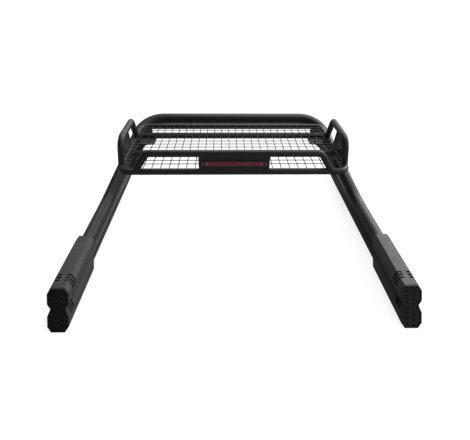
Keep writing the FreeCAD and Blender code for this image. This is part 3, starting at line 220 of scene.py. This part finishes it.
def moulding(name, base, rough, grain=950.0, edge_mm=1.6, scuff=0.5, specular=0.42):
    """Moulded plastic with a leathery grain, flow marks, scuffs, dust with painted top light,
    and painted shade in grooves.
    """
    mat = new_material(name)
    tint = (1, 1, 1.02)
    rounded = mat.rounded(edge_mm * MM)
    corner = mat.corners(rounded)
    leather = mat.cells(scale=grain, smooth=0.35)
    fine = mat.noise(scale=grain * 2.4, detail=2.0, rough=0.6)

    cloud = mat.noise(scale=6.5, detail=4.0, rough=0.6, between=(0.32, 0.68))
    colour = mat.mix(cloud, grey(base * 0.88, tint), grey(base * 1.14, tint))
    flow = mat.noise(scale=3.0, detail=3.0, rough=0.5, stretch=(5.0, 1.0, 5.0),
                     distortion=0.8, between=(0.4, 0.65))
    colour = mat.mix(flow, colour, grey(base * 1.28, tint), amount=0.35)
    colour = mat.mix(mat.remap(leather, between=(0.0, 0.6)), colour,
                     grey(base * 0.62, tint), amount=0.25)
    # Dust on upward faces, partly painted top light: upward-facing surfaces are lightened in
    # colour.
    dust_and_top_light = mat.times(mat.upward(), by=mat.noise(scale=13.0, detail=5.0, rough=0.72,
                                                between=(0.4, 0.72)))
    colour = mat.mix(dust_and_top_light, colour, (0.45, 0.43, 0.40), amount=0.045)
    rub = mat.times(corner, by=mat.noise(scale=60.0, detail=4.0, rough=0.7,
                                         between=(0.42, 0.62)))
    colour = mat.mix(rub, colour, grey(base * 2.6, tint), amount=0.5 * scuff)
    scratch = mat.noise(scale=11.0, detail=2.0, rough=0.5, stretch=(30.0, 1.4, 22.0),
                        distortion=0.25)
    colour = mat.mix(mat.thin_lines(scratch, peak=0.705), colour, grey(0.25),
                     amount=0.10 * scuff)
    # Painted shade: ambient occlusion darkens the colour and the specular inside grooves and
    # slots.
    painted_crevice_shade = mat.painted_crevice_shade(reach=0.030, power=1.6, floor=0.12)
    colour = mat.scaled(colour, painted_crevice_shade)

    gloss = mat.noise(scale=28.0, detail=3.0, rough=0.6, between=(0.3, 0.7),
                      onto=(rough - 0.05, rough + 0.06))
    gloss = mat.maths("ADD", gloss, mat.times(dust_and_top_light, by=0.08), clamp=True)
    normal = mat.bump(leather, distance=0.00022, strength=0.5, normal=rounded)
    normal = mat.bump(fine, distance=0.00006, strength=0.5, normal=normal)
    return mat.principled({"Base Color": colour, "Roughness": gloss,
                           "Specular IOR Level": mat.times(painted_crevice_shade, by=specular),
                           "Normal": normal})


def rubber(name, base, rough):
    """Dull rubber with a pale bloom."""
    mat = new_material(name)
    rounded = mat.rounded(0.6 * MM)
    corner = mat.corners(rounded)
    bloom = mat.noise(scale=22.0, detail=5.0, rough=0.65)
    grain = mat.noise(scale=1900.0, detail=3.0, rough=0.6)
    colour = mat.mix(mat.remap(bloom, between=(0.4, 0.7)), grey(base), grey(base * 2.1))
    colour = mat.mix(corner, colour, grey(base * 4), amount=0.25)
    gloss = mat.remap(bloom, between=(0.3, 0.7), onto=(rough - 0.08, rough + 0.08))
    normal = mat.bump(grain, distance=0.00012, strength=0.6, normal=rounded)
    return mat.principled({"Base Color": colour, "Roughness": gloss,
                           "Specular IOR Level": 0.3, "Normal": normal,
                           "Sheen Weight": 0.04})


def glossy(name, base, rough):
    """Shiny plastic with a slight haze."""
    mat = new_material(name)
    rounded = mat.rounded(0.8 * MM)
    corner = mat.corners(rounded)
    haze = mat.noise(scale=40.0, detail=4.0, rough=0.6)
    wave = mat.noise(scale=120.0, detail=2.0, rough=0.5)
    colour = mat.mix(mat.remap(haze, between=(0.35, 0.7)),
                     grey(base * 0.85), grey(base * 1.35))
    colour = mat.mix(corner, colour, grey(base * 5), amount=0.22)
    gloss = mat.remap(haze, between=(0.3, 0.75), onto=(rough - 0.05, rough + 0.16))
    normal = mat.bump(wave, distance=0.00004, strength=0.4, normal=rounded)
    return mat.principled({"Base Color": colour, "Roughness": gloss,
                           "Specular IOR Level": 0.5, "Normal": normal,
                           "Coat Weight": 0.25, "Coat Roughness": 0.12})


def red_lens(name):
    """Dark red lens: upright flutes, deeper colour at top and bottom, fine hard coat."""
    mat = new_material(name)
    rounded = mat.rounded(1.2 * MM)
    flutes = mat.bands(scale=62.0)
    cups = mat.bands(scale=11.0)
    height = mat.add("SeparateXYZ", {0: mat.position}, "Z")
    off_centre = mat.maths("ABSOLUTE", mat.maths("SUBTRACT", height, LAMP_Z * MM))
    middle = mat.remap(off_centre, between=(0.0, 0.012), onto=(1.0, 0.0))
    colour = mat.mix(middle, (0.10, 0.004, 0.012), (0.42, 0.012, 0.040))
    colour = mat.mix(cups, colour, (0.16, 0.005, 0.018), amount=0.30)
    colour = mat.mix(flutes, colour, (0.50, 0.020, 0.060), amount=0.30)
    film = mat.noise(scale=70.0, detail=4.0, rough=0.6, between=(0.3, 0.7),
                     onto=(0.10, 0.22))
    normal = mat.bump(flutes, distance=0.0004, strength=0.5, normal=rounded)
    return mat.principled({"Base Color": colour, "Roughness": film,
                           "Specular IOR Level": 0.5, "Normal": normal,
                           "Coat Weight": 0.8, "Coat Roughness": 0.06,
                           "Subsurface Weight": 0.15, "Subsurface Scale": 0.4,
                           "Subsurface Radius": (0.02, 0.002, 0.002)})


def steel(name, base, rough):
    """Bare or blackened steel with fine tool marks."""
    mat = new_material(name)
    tint = (1, 1, 1.01)
    rounded = mat.rounded(0.35 * MM)
    corner = mat.corners(rounded)
    turning = mat.noise(scale=900.0, detail=2.0, rough=0.6, stretch=(1.0, 0.08, 1.0))
    spots = mat.noise(scale=180.0, detail=4.0, rough=0.7, between=(0.4, 0.7))
    colour = mat.mix(spots, grey(base, tint), grey(base * 0.72, tint))
    colour = mat.mix(corner, colour, grey(min(1.0, base * 1.9), tint), amount=0.35)
    gloss = mat.remap(turning, between=(0.3, 0.7), onto=(rough - 0.07, rough + 0.1))
    normal = mat.bump(turning, distance=0.00003, strength=0.5, normal=rounded)
    return mat.principled({"Base Color": colour, "Metallic": 1.0, "Roughness": gloss,
                           "Normal": normal})


def laminate(name):
    """Circuit board: solder mask with copper tracks showing through."""
    mat = new_material(name)
    tracks = mat.add("TexBrick", {"Scale": 70.0, "Mortar Size": 0.03,
                                  "Vector": mat.stretched((1.0, 1.0, 1.0))}, "Fac")
    tone = mat.noise(scale=160.0, detail=2.0, rough=0.5)
    colour = mat.mix(tone, (0.008, 0.075, 0.028), (0.014, 0.120, 0.045))
    colour = mat.mix(tracks, colour, (0.05, 0.19, 0.06), amount=0.4)
    return mat.principled({
        "Base Color": colour,
        "Roughness": mat.remap(tone, between=(0.3, 0.7), onto=(0.28, 0.42)),
        "Normal": mat.bump(tracks, distance=0.00004, strength=0.5)})


def led_dome(name):
    """Pale yellow LED package."""
    mat = new_material(name)
    tone = mat.noise(scale=900.0, detail=2.0, rough=0.5)
    return mat.principled({
        "Base Color": mat.mix(tone, (0.70, 0.60, 0.36), (0.92, 0.86, 0.66)),
        "Roughness": mat.remap(tone, between=(0.3, 0.7), onto=(0.2, 0.4)),
        "Normal": mat.bump(tone, distance=0.00005, strength=0.4),
        "Coat Weight": 0.3})


MATERIALS = {
    "frame_paint": powder_coat("frame_powder_coat", base=0.0150, rough=0.40, wear=0.40),
    "basket_paint": powder_coat("basket_powder_coat", base=0.0155, rough=0.39,
                                grain=1700.0, wear=0.45),
    "wire_paint": powder_coat("wire_powder_coat", base=0.0120, rough=0.42, grain=2200.0,
                              wear=0.5, edge_mm=0.4),
    "sheet_paint": powder_coat("sheet_powder_coat", base=0.0115, rough=0.43, edge_mm=0.6),
    "cover_plastic": moulding("cover_moulding", base=0.047, rough=0.48, specular=0.48),
    "cap_plastic": moulding("cap_moulding", base=0.0110, rough=0.52, grain=1300.0,
                            edge_mm=0.7, scuff=0.35, specular=0.36),
    "plug_plastic": moulding("plug_moulding", base=0.014, rough=0.55, grain=1500.0,
                             edge_mm=0.6),
    "soft_rubber": rubber("soft_rubber", base=0.013, rough=0.74),
    "lamp_black": glossy("lamp_black_gloss", base=0.010, rough=0.16),
    "lens_red": red_lens("lens_dark_red"),
    "board_green": laminate("board_laminate"),
    "led_pale": led_dome("led_package"),
    "screw_steel": steel("screw_steel", base=0.62, rough=0.24),
    "fastener_black": steel("black_zinc_steel", base=0.060, rough=0.38),
}
WELD_COAT = powder_coat("weld_powder_coat", base=0.0150, rough=0.36, grain=1400.0,
                        wear=0.2, edge_mm=0.3)

slot_of = {part["node"]: part["material_slot"] for part in frame["record"]["subparts"]}
for node_name, node_object in nodes.items():
    mesh = node_object.data
    mesh.materials.clear()
    mesh.materials.append(MATERIALS[slot_of[node_name]])
    mesh.polygons.foreach_set("material_index", [0] * len(mesh.polygons))


# ------------------------------------------------------------ mesh helpers
def place(x, y, z):
    """Point or offset given in millimetres."""
    return Vector((x, y, z)) * MM


def across(axis):
    """Two directions square to axis and to each other."""
    first = axis.orthogonal().normalized()
    return first, axis.cross(first)


def on_circle(centre, first, second, radius, angle):
    return centre + first * (radius * math.cos(angle)) + second * (radius * math.sin(angle))


class Shell:
    """Vertices and faces of a piece while it is being built."""

    def __init__(self):
        self.verts = []
        self.faces = []

    def skin_tube(self, base, sections, sides, closed=False):
        """Join sections of vertices, starting at base, and cap the ends of an open tube."""
        for k in range(sections if closed else sections - 1):
            here = base + k * sides
            there = base + (k + 1) % sections * sides
            for j in range(sides):
                j2 = (j + 1) % sides
                self.faces.append((here + j, here + j2, there + j2, there + j))
        if not closed:
            self.faces.append(tuple(base + j for j in range(sides)))
            self.cap(base + (sections - 1) * sides, sides)

    def skin_dome(self, pole, rings, sides, far_pole=False):
        """Join a pole vertex to the rings that follow it, and to a far pole if asked."""
        last = pole + 1 + (rings - 1) * sides
        for j in range(sides):
            j2 = (j + 1) % sides
            self.faces.append((pole, pole + 1 + j, pole + 1 + j2))
            for i in range(rings - 1):
                here = pole + 1 + i * sides
                there = here + sides
                self.faces.append((here + j, there + j, there + j2, here + j2))
            if far_pole:
                self.faces.append((last + j, last + sides, last + j2))

    def cap(self, first, sides):
        self.faces.append(tuple(first + j for j in reversed(range(sides))))

    def make(self, name, material):
        """Make the smooth-shaded object and hang it on the root."""
        mesh = bpy.data.meshes.new(name)
        mesh.from_pydata([tuple(vert) for vert in self.verts], [], self.faces)
        mesh.validate()
        work = bmesh.new()
        work.from_mesh(mesh)
        bmesh.ops.recalc_face_normals(work, faces=work.faces)
        work.to_mesh(mesh)
        work.free()
        mesh.polygons.foreach_set("use_smooth", [True] * len(mesh.polygons))
        mesh.materials.append(material)
        made = bpy.data.objects.new(name, mesh)
        bpy.context.scene.collection.objects.link(made)
        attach(made, "root")
        return made


# -------------------------------------------------------------- weld beads
BEAD_STEP = 0.0009              # between cross-sections
BEAD_SIDES = 8
MIN_BEAD = 0.004                # shorter beads are left out
RIPPLE_PITCH_MM = 3.4
MAX_GAP = 0.014                 # a wider gap between hits ends a bead
MIN_HITS = 5
BASKET_TUBE = 19 * MM           # radii
POST_TUBE = 38 * MM


def tree_of(node):
    source = nodes[node]
    return BVHTree.FromPolygons([source.matrix_world @ v.co for v in source.data.vertices],
                                [tuple(face.vertices) for face in source.data.polygons])


def resample(points, closed):
    """Evenly spaced (point, distance along) pairs, or none if the line is too short."""
    path = points + [points[0]] if closed else points
    along = [0.0]
    for start, end in zip(path, path[1:]):
        along.append(along[-1] + (end - start).length)
    length = along[-1]
    if length < MIN_BEAD:
        return []
    steps = max(6, int(length / BEAD_STEP))
    line = []
    i = 0
    for k in range(steps if closed else steps + 1):
        distance = length * k / steps
        while i < len(along) - 2 and along[i + 1] < distance:
            i += 1
        part = (distance - along[i]) / max(1e-9, along[i + 1] - along[i])
        line.append((path[i].lerp(path[i + 1], part), distance))
    return line


def sweep(shell, points, bead, closed=False):
    """Rippled bead of radius bead along a line of points."""
    line = resample(points, closed)
    if not line:
        return
    base = len(shell.verts)
    count = len(line)
    reference = Vector((0.31, 0.47, 0.83))      # keeps the sections from twisting
    for k, (point, distance) in enumerate(line):
        before = line[(k - 1) % count][0] if closed or k else point
        after = line[(k + 1) % count][0] if closed or k < count - 1 else point
        tangent = (after - before).normalized()
        lean = reference.dot(tangent)
        if abs(lean) < 0.97:
            first = (reference - tangent * lean).normalized()
        else:
            first = tangent.orthogonal().normalized()
        second = tangent.cross(first)
        ripple = abs(math.sin(math.pi * distance * 1000 / RIPPLE_PITCH_MM))
        radius = bead * (0.84 + 0.22 * ripple + 0.05 * noise.noise(point * 900))
        if not closed and k in (0, count - 1):
            radius *= 0.35
        for j in range(BEAD_SIDES):
            angle = 2 * math.pi * j / BEAD_SIDES
            shell.verts.append(on_circle(point, first, second, radius, angle))
    shell.skin_tube(base, count, BEAD_SIDES, closed)


def broken(previous, hit):
    """Whether a bead cannot run on from the previous hit to this one."""
    return hit is None or (previous is not None and (hit - previous).length >= MAX_GAP)


def collar(shell, tree, start, axis, radius, bead, steps=96, reach=0.16):
    """Bead where a round tube, coming along its axis from start, meets another part."""
    axis = axis.normalized()
    first, second = across(axis)
    hits = []
    for k in range(steps):
        point = on_circle(start, first, second, radius, 2 * math.pi * k / steps)
        hits.append(tree.ray_cast(point, axis, reach)[0])
    breaks = [k for k in range(steps) if broken(hits[k - 1], hits[k])]
    if not breaks:
        sweep(shell, hits, bead, closed=True)
        return
    # start at a break, so that no run is cut where the circle begins
    run = []
    for k in range(steps + 1):
        hit = hits[(breaks[0] + k) % steps]
        if broken(run[-1] if run else None, hit) or k == steps:
            if len(run) >= MIN_HITS:
                sweep(shell, run, bead)
            run = []
        if hit is not None:
            run.append(hit)


def seam(shell, tree, x, y, toward, bead):
    """Upright bead on the part met by looking along Y from the line at x, y."""
    rays = (tree.ray_cast(place(x, y, 461 + k), Vector((0, toward, 0)), 0.05)[0]
            for k in range(23))
    hits = [hit for hit in rays if hit is not None]
    if len(hits) >= MIN_HITS:
        sweep(shell, hits, bead)


def basket_welds(ring, hoop):
    shell = Shell()
    lean = math.radians(6.45)
    for side in SIDES:
        # level tubes running outward
        for y in (207.0, 520.0):
            collar(shell, ring, place(side * 600, y, 462), Vector((side, 0, 0)),
                   BASKET_TUBE, bead=2.1 * MM)
        # steep tubes, leaning outward as they go down
        down = Vector((side * math.sin(lean), 0, -math.cos(lean)))
        for y in (6.0, 464.0):
            collar(shell, ring, place(side * 661, y, 472) - down * 0.055, down,
                   BASKET_TUBE, bead=2.2 * MM)
        # slanting tube near the front
        down = Vector((side * 71.0, 0, -113.0)).normalized()
        collar(shell, ring, place(side * 566, -66, 472) - down * 0.060, down,
               BASKET_TUBE, bead=2.2 * MM)
        # upright seams on the facing sides of ring and hoop
        for x in (300.0, 306.0):
            seam(shell, ring, side * x, y=702, toward=-1, bead=1.6 * MM)
        for x in (306.0, 312.0):
            seam(shell, hoop, side * x, y=738, toward=1, bead=1.6 * MM)
    shell.make("basket_weld_beads", WELD_COAT)


def post_welds(hoop):
    shell = Shell()
    for side in SIDES:
        up = Vector((-210.0 * side, -45.0, 419.0)).normalized()
        collar(shell, hoop, place(side * 850, 782, 50) + up * 0.330, up, POST_TUBE,
               bead=3.0 * MM, steps=144, reach=0.26)
    shell.make("post_weld_beads", WELD_COAT)


hoop_tree = tree_of("main_hoop")
basket_welds(tree_of("basket_frame"), hoop_tree)
post_welds(hoop_tree)


# ----------------------------------------------------- nuggets and flutes
def wire_nuggets():
    """Spot-weld nuggets where the floor wires cross."""
    columns, rows, pitch = 26, 14, 50.0
    first_y, wire_z = 1.0, 486.1
    radius, half_height = 3.3, 2.1
    bands, sides = 4, 8
    shell = Shell()
    for i in range(columns):
        for j in range(rows):
            centre = place((i - (columns - 1) / 2) * pitch, first_y + pitch * j, wire_z)
            grow = 1.0 + 0.12 * noise.noise(Vector((i * 1.7, j * 2.3, 0.5)))
            pole = len(shell.verts)
            shell.verts.append(centre + place(0, 0, half_height))
            for band in range(1, bands):
                polar = math.pi * band / bands
                width = radius * grow * math.sin(polar)
                for k in range(sides):
                    turn = 2 * math.pi * k / sides
                    shell.verts.append(centre + place(width * math.cos(turn),
                                                      width * math.sin(turn),
                                                      half_height * math.cos(polar)))
            shell.verts.append(centre - place(0, 0, half_height))
            shell.skin_dome(pole, bands - 1, sides, far_pole=True)
    shell.make("wire_weld_nuggets", MATERIALS["wire_paint"])


def lens_flutes():
    """Upright flutes on the front of the lens."""
    count, pitch = 75, 4.0
    half_width, depth, back_y = 1.75, 0.75, -89.95
    arc_points = 7
    # height above the lamp's centre line, share of the full depth
    levels = ((-9.6, 0.2), (-8.6, 1.0), (8.6, 1.0), (9.6, 0.2))
    shell = Shell()
    for k in range(count):
        x = (k - (count - 1) / 2) * pitch
        base = len(shell.verts)
        for rise, share in levels:
            for j in range(arc_points):
                angle = math.pi * j / (arc_points - 1)
                shell.verts.append(place(x - half_width * math.cos(angle),
                                         back_y - depth * share * math.sin(angle),
                                         LAMP_Z + rise))
        shell.skin_tube(base, len(levels), arc_points)
    shell.make("lens_flutes", MATERIALS["lens_red"])


wire_nuggets()
lens_flutes()


# ------------------------------------------------------------------ screws
def pan_screw(shell, origin, axis, head, shank, spin):
    """Domed head with a cross recess; origin is under the head, axis points out.

    head is its radius and height, shank its radius and length, all in mm.
    """
    head_radius, head_height, shank_radius, shank_length = (
        size * MM for size in (*head, *shank))
    sides, rings = 72, 22
    recess = head_height * 0.62
    arm, half_arm = head_radius * 0.62, head_radius * 0.15      # arm length, half its width
    first, second = across(axis)
    pole = len(shell.verts)

    def put(radius, angle, height):
        shell.verts.append(on_circle(origin, first, second, radius, angle + spin)
                           + axis * height)

    put(0, 0, head_height - recess)
    for i in range(1, rings + 1):
        radius = head_radius * i / rings
        dome = head_height * (0.52 + 0.48 * math.sqrt(1 - (i / rings) ** 3))
        for j in range(sides):
            angle = 2 * math.pi * j / sides
            x, y = abs(radius * math.cos(angle)), abs(radius * math.sin(angle))
            inside = min(x, y) < half_arm and max(x, y) < arm
            depth = recess * (1 - 0.55 * (max(x, y) / arm)) if inside else 0.0
            put(radius, angle, dome - depth)
    profile = ((head_radius, 0.0), (shank_radius, 0.0),
               (shank_radius, -shank_length + shank_radius),
               (shank_radius * 0.4, -shank_length))
    for radius, height in profile:
        for j in range(sides):
            put(radius, 2 * math.pi * j / sides, height)
    layers = rings + len(profile)
    shell.skin_dome(pole, layers, sides)
    shell.cap(pole + 1 + (layers - 1) * sides, sides)


def cover_screws():
    shell = Shell()
    for side in SIDES:
        for k, y in enumerate((-600.0, -440.0)):
            pan_screw(shell, place(side * 901, y, 50), Vector((side, 0, 0)),
                      head=(4.6, 2.6), shank=(2.4, 12.4), spin=0.4 + 0.7 * k + 0.3 * side)
    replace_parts(shell.make("cover_pan_screws", MATERIALS["fastener_black"]), "cover_screws")


def lamp_screws():
    # x, y under the head, shank length
    stations = ((-180.0, -88.0, 7.5), (-155.0, -90.0, 22.0),
                (155.0, -90.0, 22.0), (180.0, -88.0, 7.5))
    shell = Shell()
    for k, (x, y, length) in enumerate(stations):
        pan_screw(shell, place(x, y, LAMP_Z), Vector((0, -1, 0)),
                  head=(3.0, 1.8), shank=(1.6, length), spin=0.5 * k)
    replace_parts(shell.make("lamp_pan_screws", MATERIALS["screw_steel"]), "lamp_screws")


cover_screws()
lamp_screws()


# ------------------------------------------------------------------- stage
WHITE = (1.0, 1.0, 1.0, 1.0)


def floor_material():
    """Glows to the camera, is plain grey to other rays and clear from below."""
    mat = new_material("pale_floor")
    tone = mat.noise(scale=1.3, detail=3.0, rough=0.5)
    pale = mat.add("BsdfDiffuse", {"Color": mat.mix(tone, grey(0.30), grey(0.33))})
    glow = mat.add("Emission", {"Color": WHITE, "Strength": 0.84})
    lit = mat.add("AddShader", {0: pale, 1: glow})
    dim = mat.add("BsdfDiffuse", {"Color": (0.34, 0.34, 0.34, 1)})
    seen = mat.add("LightPath", out="Is Camera Ray")
    top = mat.add("MixShader", {0: seen, 1: dim, 2: lit})
    clear = mat.add("BsdfTransparent")
    below = mat.add("NewGeometry", out="Backfacing")
    return mat.finish(mat.add("MixShader", {0: below, 1: top, 2: clear}))


def studio_floor():
    reach, level = 60.0, -0.0006
    work = bmesh.new()
    work.faces.new([work.verts.new((x * reach, y * reach, level))
                    for x, y in ((-1, -1), (1, -1), (1, 1), (-1, 1))])
    mesh = bpy.data.meshes.new("studio_floor")
    work.to_mesh(mesh)
    work.free()
    floor = bpy.data.objects.new("studio_floor", mesh)
    bpy.context.scene.collection.objects.link(floor)
    mesh.materials.append(floor_material())


def studio_world():
    """White to the camera; lights the scene mostly from the right, back and above."""
    world = bpy.data.worlds.new("studio")
    bpy.context.scene.world = world
    sky = Shading(world, output="ShaderNodeOutputWorld", space="Generated")
    brightest = Vector((0.72, 0.52, 0.46)).normalized()
    facing = sky.add("VectorMath", {0: sky.position, 1: brightest}, "Value",
                     operation="DOT_PRODUCT")
    strength = sky.remap(facing, between=(-0.10, 1.0), onto=(0.045, 1.45),
                         interpolation="SMOOTHSTEP")
    light = sky.add("Background", {"Color": WHITE, "Strength": strength})
    backdrop = sky.add("Background", {"Color": WHITE, "Strength": 1.0})
    seen = sky.add("LightPath", out="Is Camera Ray")
    sky.finish(sky.add("MixShader", {0: seen, 1: light, 2: backdrop}))


def softbox(name, location, target, size, power):
    light = bpy.data.lights.new(name, "AREA")
    light.shape = "RECTANGLE"
    light.size, light.size_y = size
    light.energy = power
    box = bpy.data.objects.new(name, light)
    bpy.context.scene.collection.objects.link(box)
    box.location = location
    box.rotation_mode = "QUATERNION"
    aim = Vector(target) - Vector(location)
    box.rotation_quaternion = aim.to_track_quat("-Z", "Y")


def studio_camera():
    lens = bpy.data.cameras.new("camera")
    camera = bpy.data.objects.new("camera", lens)
    bpy.context.scene.collection.objects.link(camera)
    heading, tilt, roll = (math.radians(angle) for angle in (-1.607, 56.106, 0.575))
    turn = (Matrix.Rotation(heading, 4, "Z") @ Matrix.Rotation(tilt, 4, "X")
            @ Matrix.Rotation(roll, 4, "Z"))
    camera.rotation_mode = "QUATERNION"
    camera.location = (-0.0503, -2.0246, 1.4504)
    camera.rotation_quaternion = turn.to_quaternion()
    lens.sensor_width = 36.0
    lens.lens = 28.806
    lens.shift_x = 0.00136
    lens.clip_start, lens.clip_end = 0.05, 200.0
    bpy.context.scene.camera = camera


studio_floor()
studio_world()
softbox("key_softbox", location=(3.3, 2.9, 2.9), target=(0.5, 0, 0.3),
        size=(2.2, 2.2), power=68)
softbox("top_softbox", location=(0.6, 1.2, 4.4), target=(0.2, 0, 0.3),
        size=(2.6, 2.2), power=42)
softbox("front_softbox", location=(2.4, -3.6, 1.8), target=(0, 0, 0.4),
        size=(1.6, 1.6), power=14)
studio_camera()
bpy.context.scene.view_settings.view_transform = "Standard"
bpy.context.scene.view_settings.look = "None"
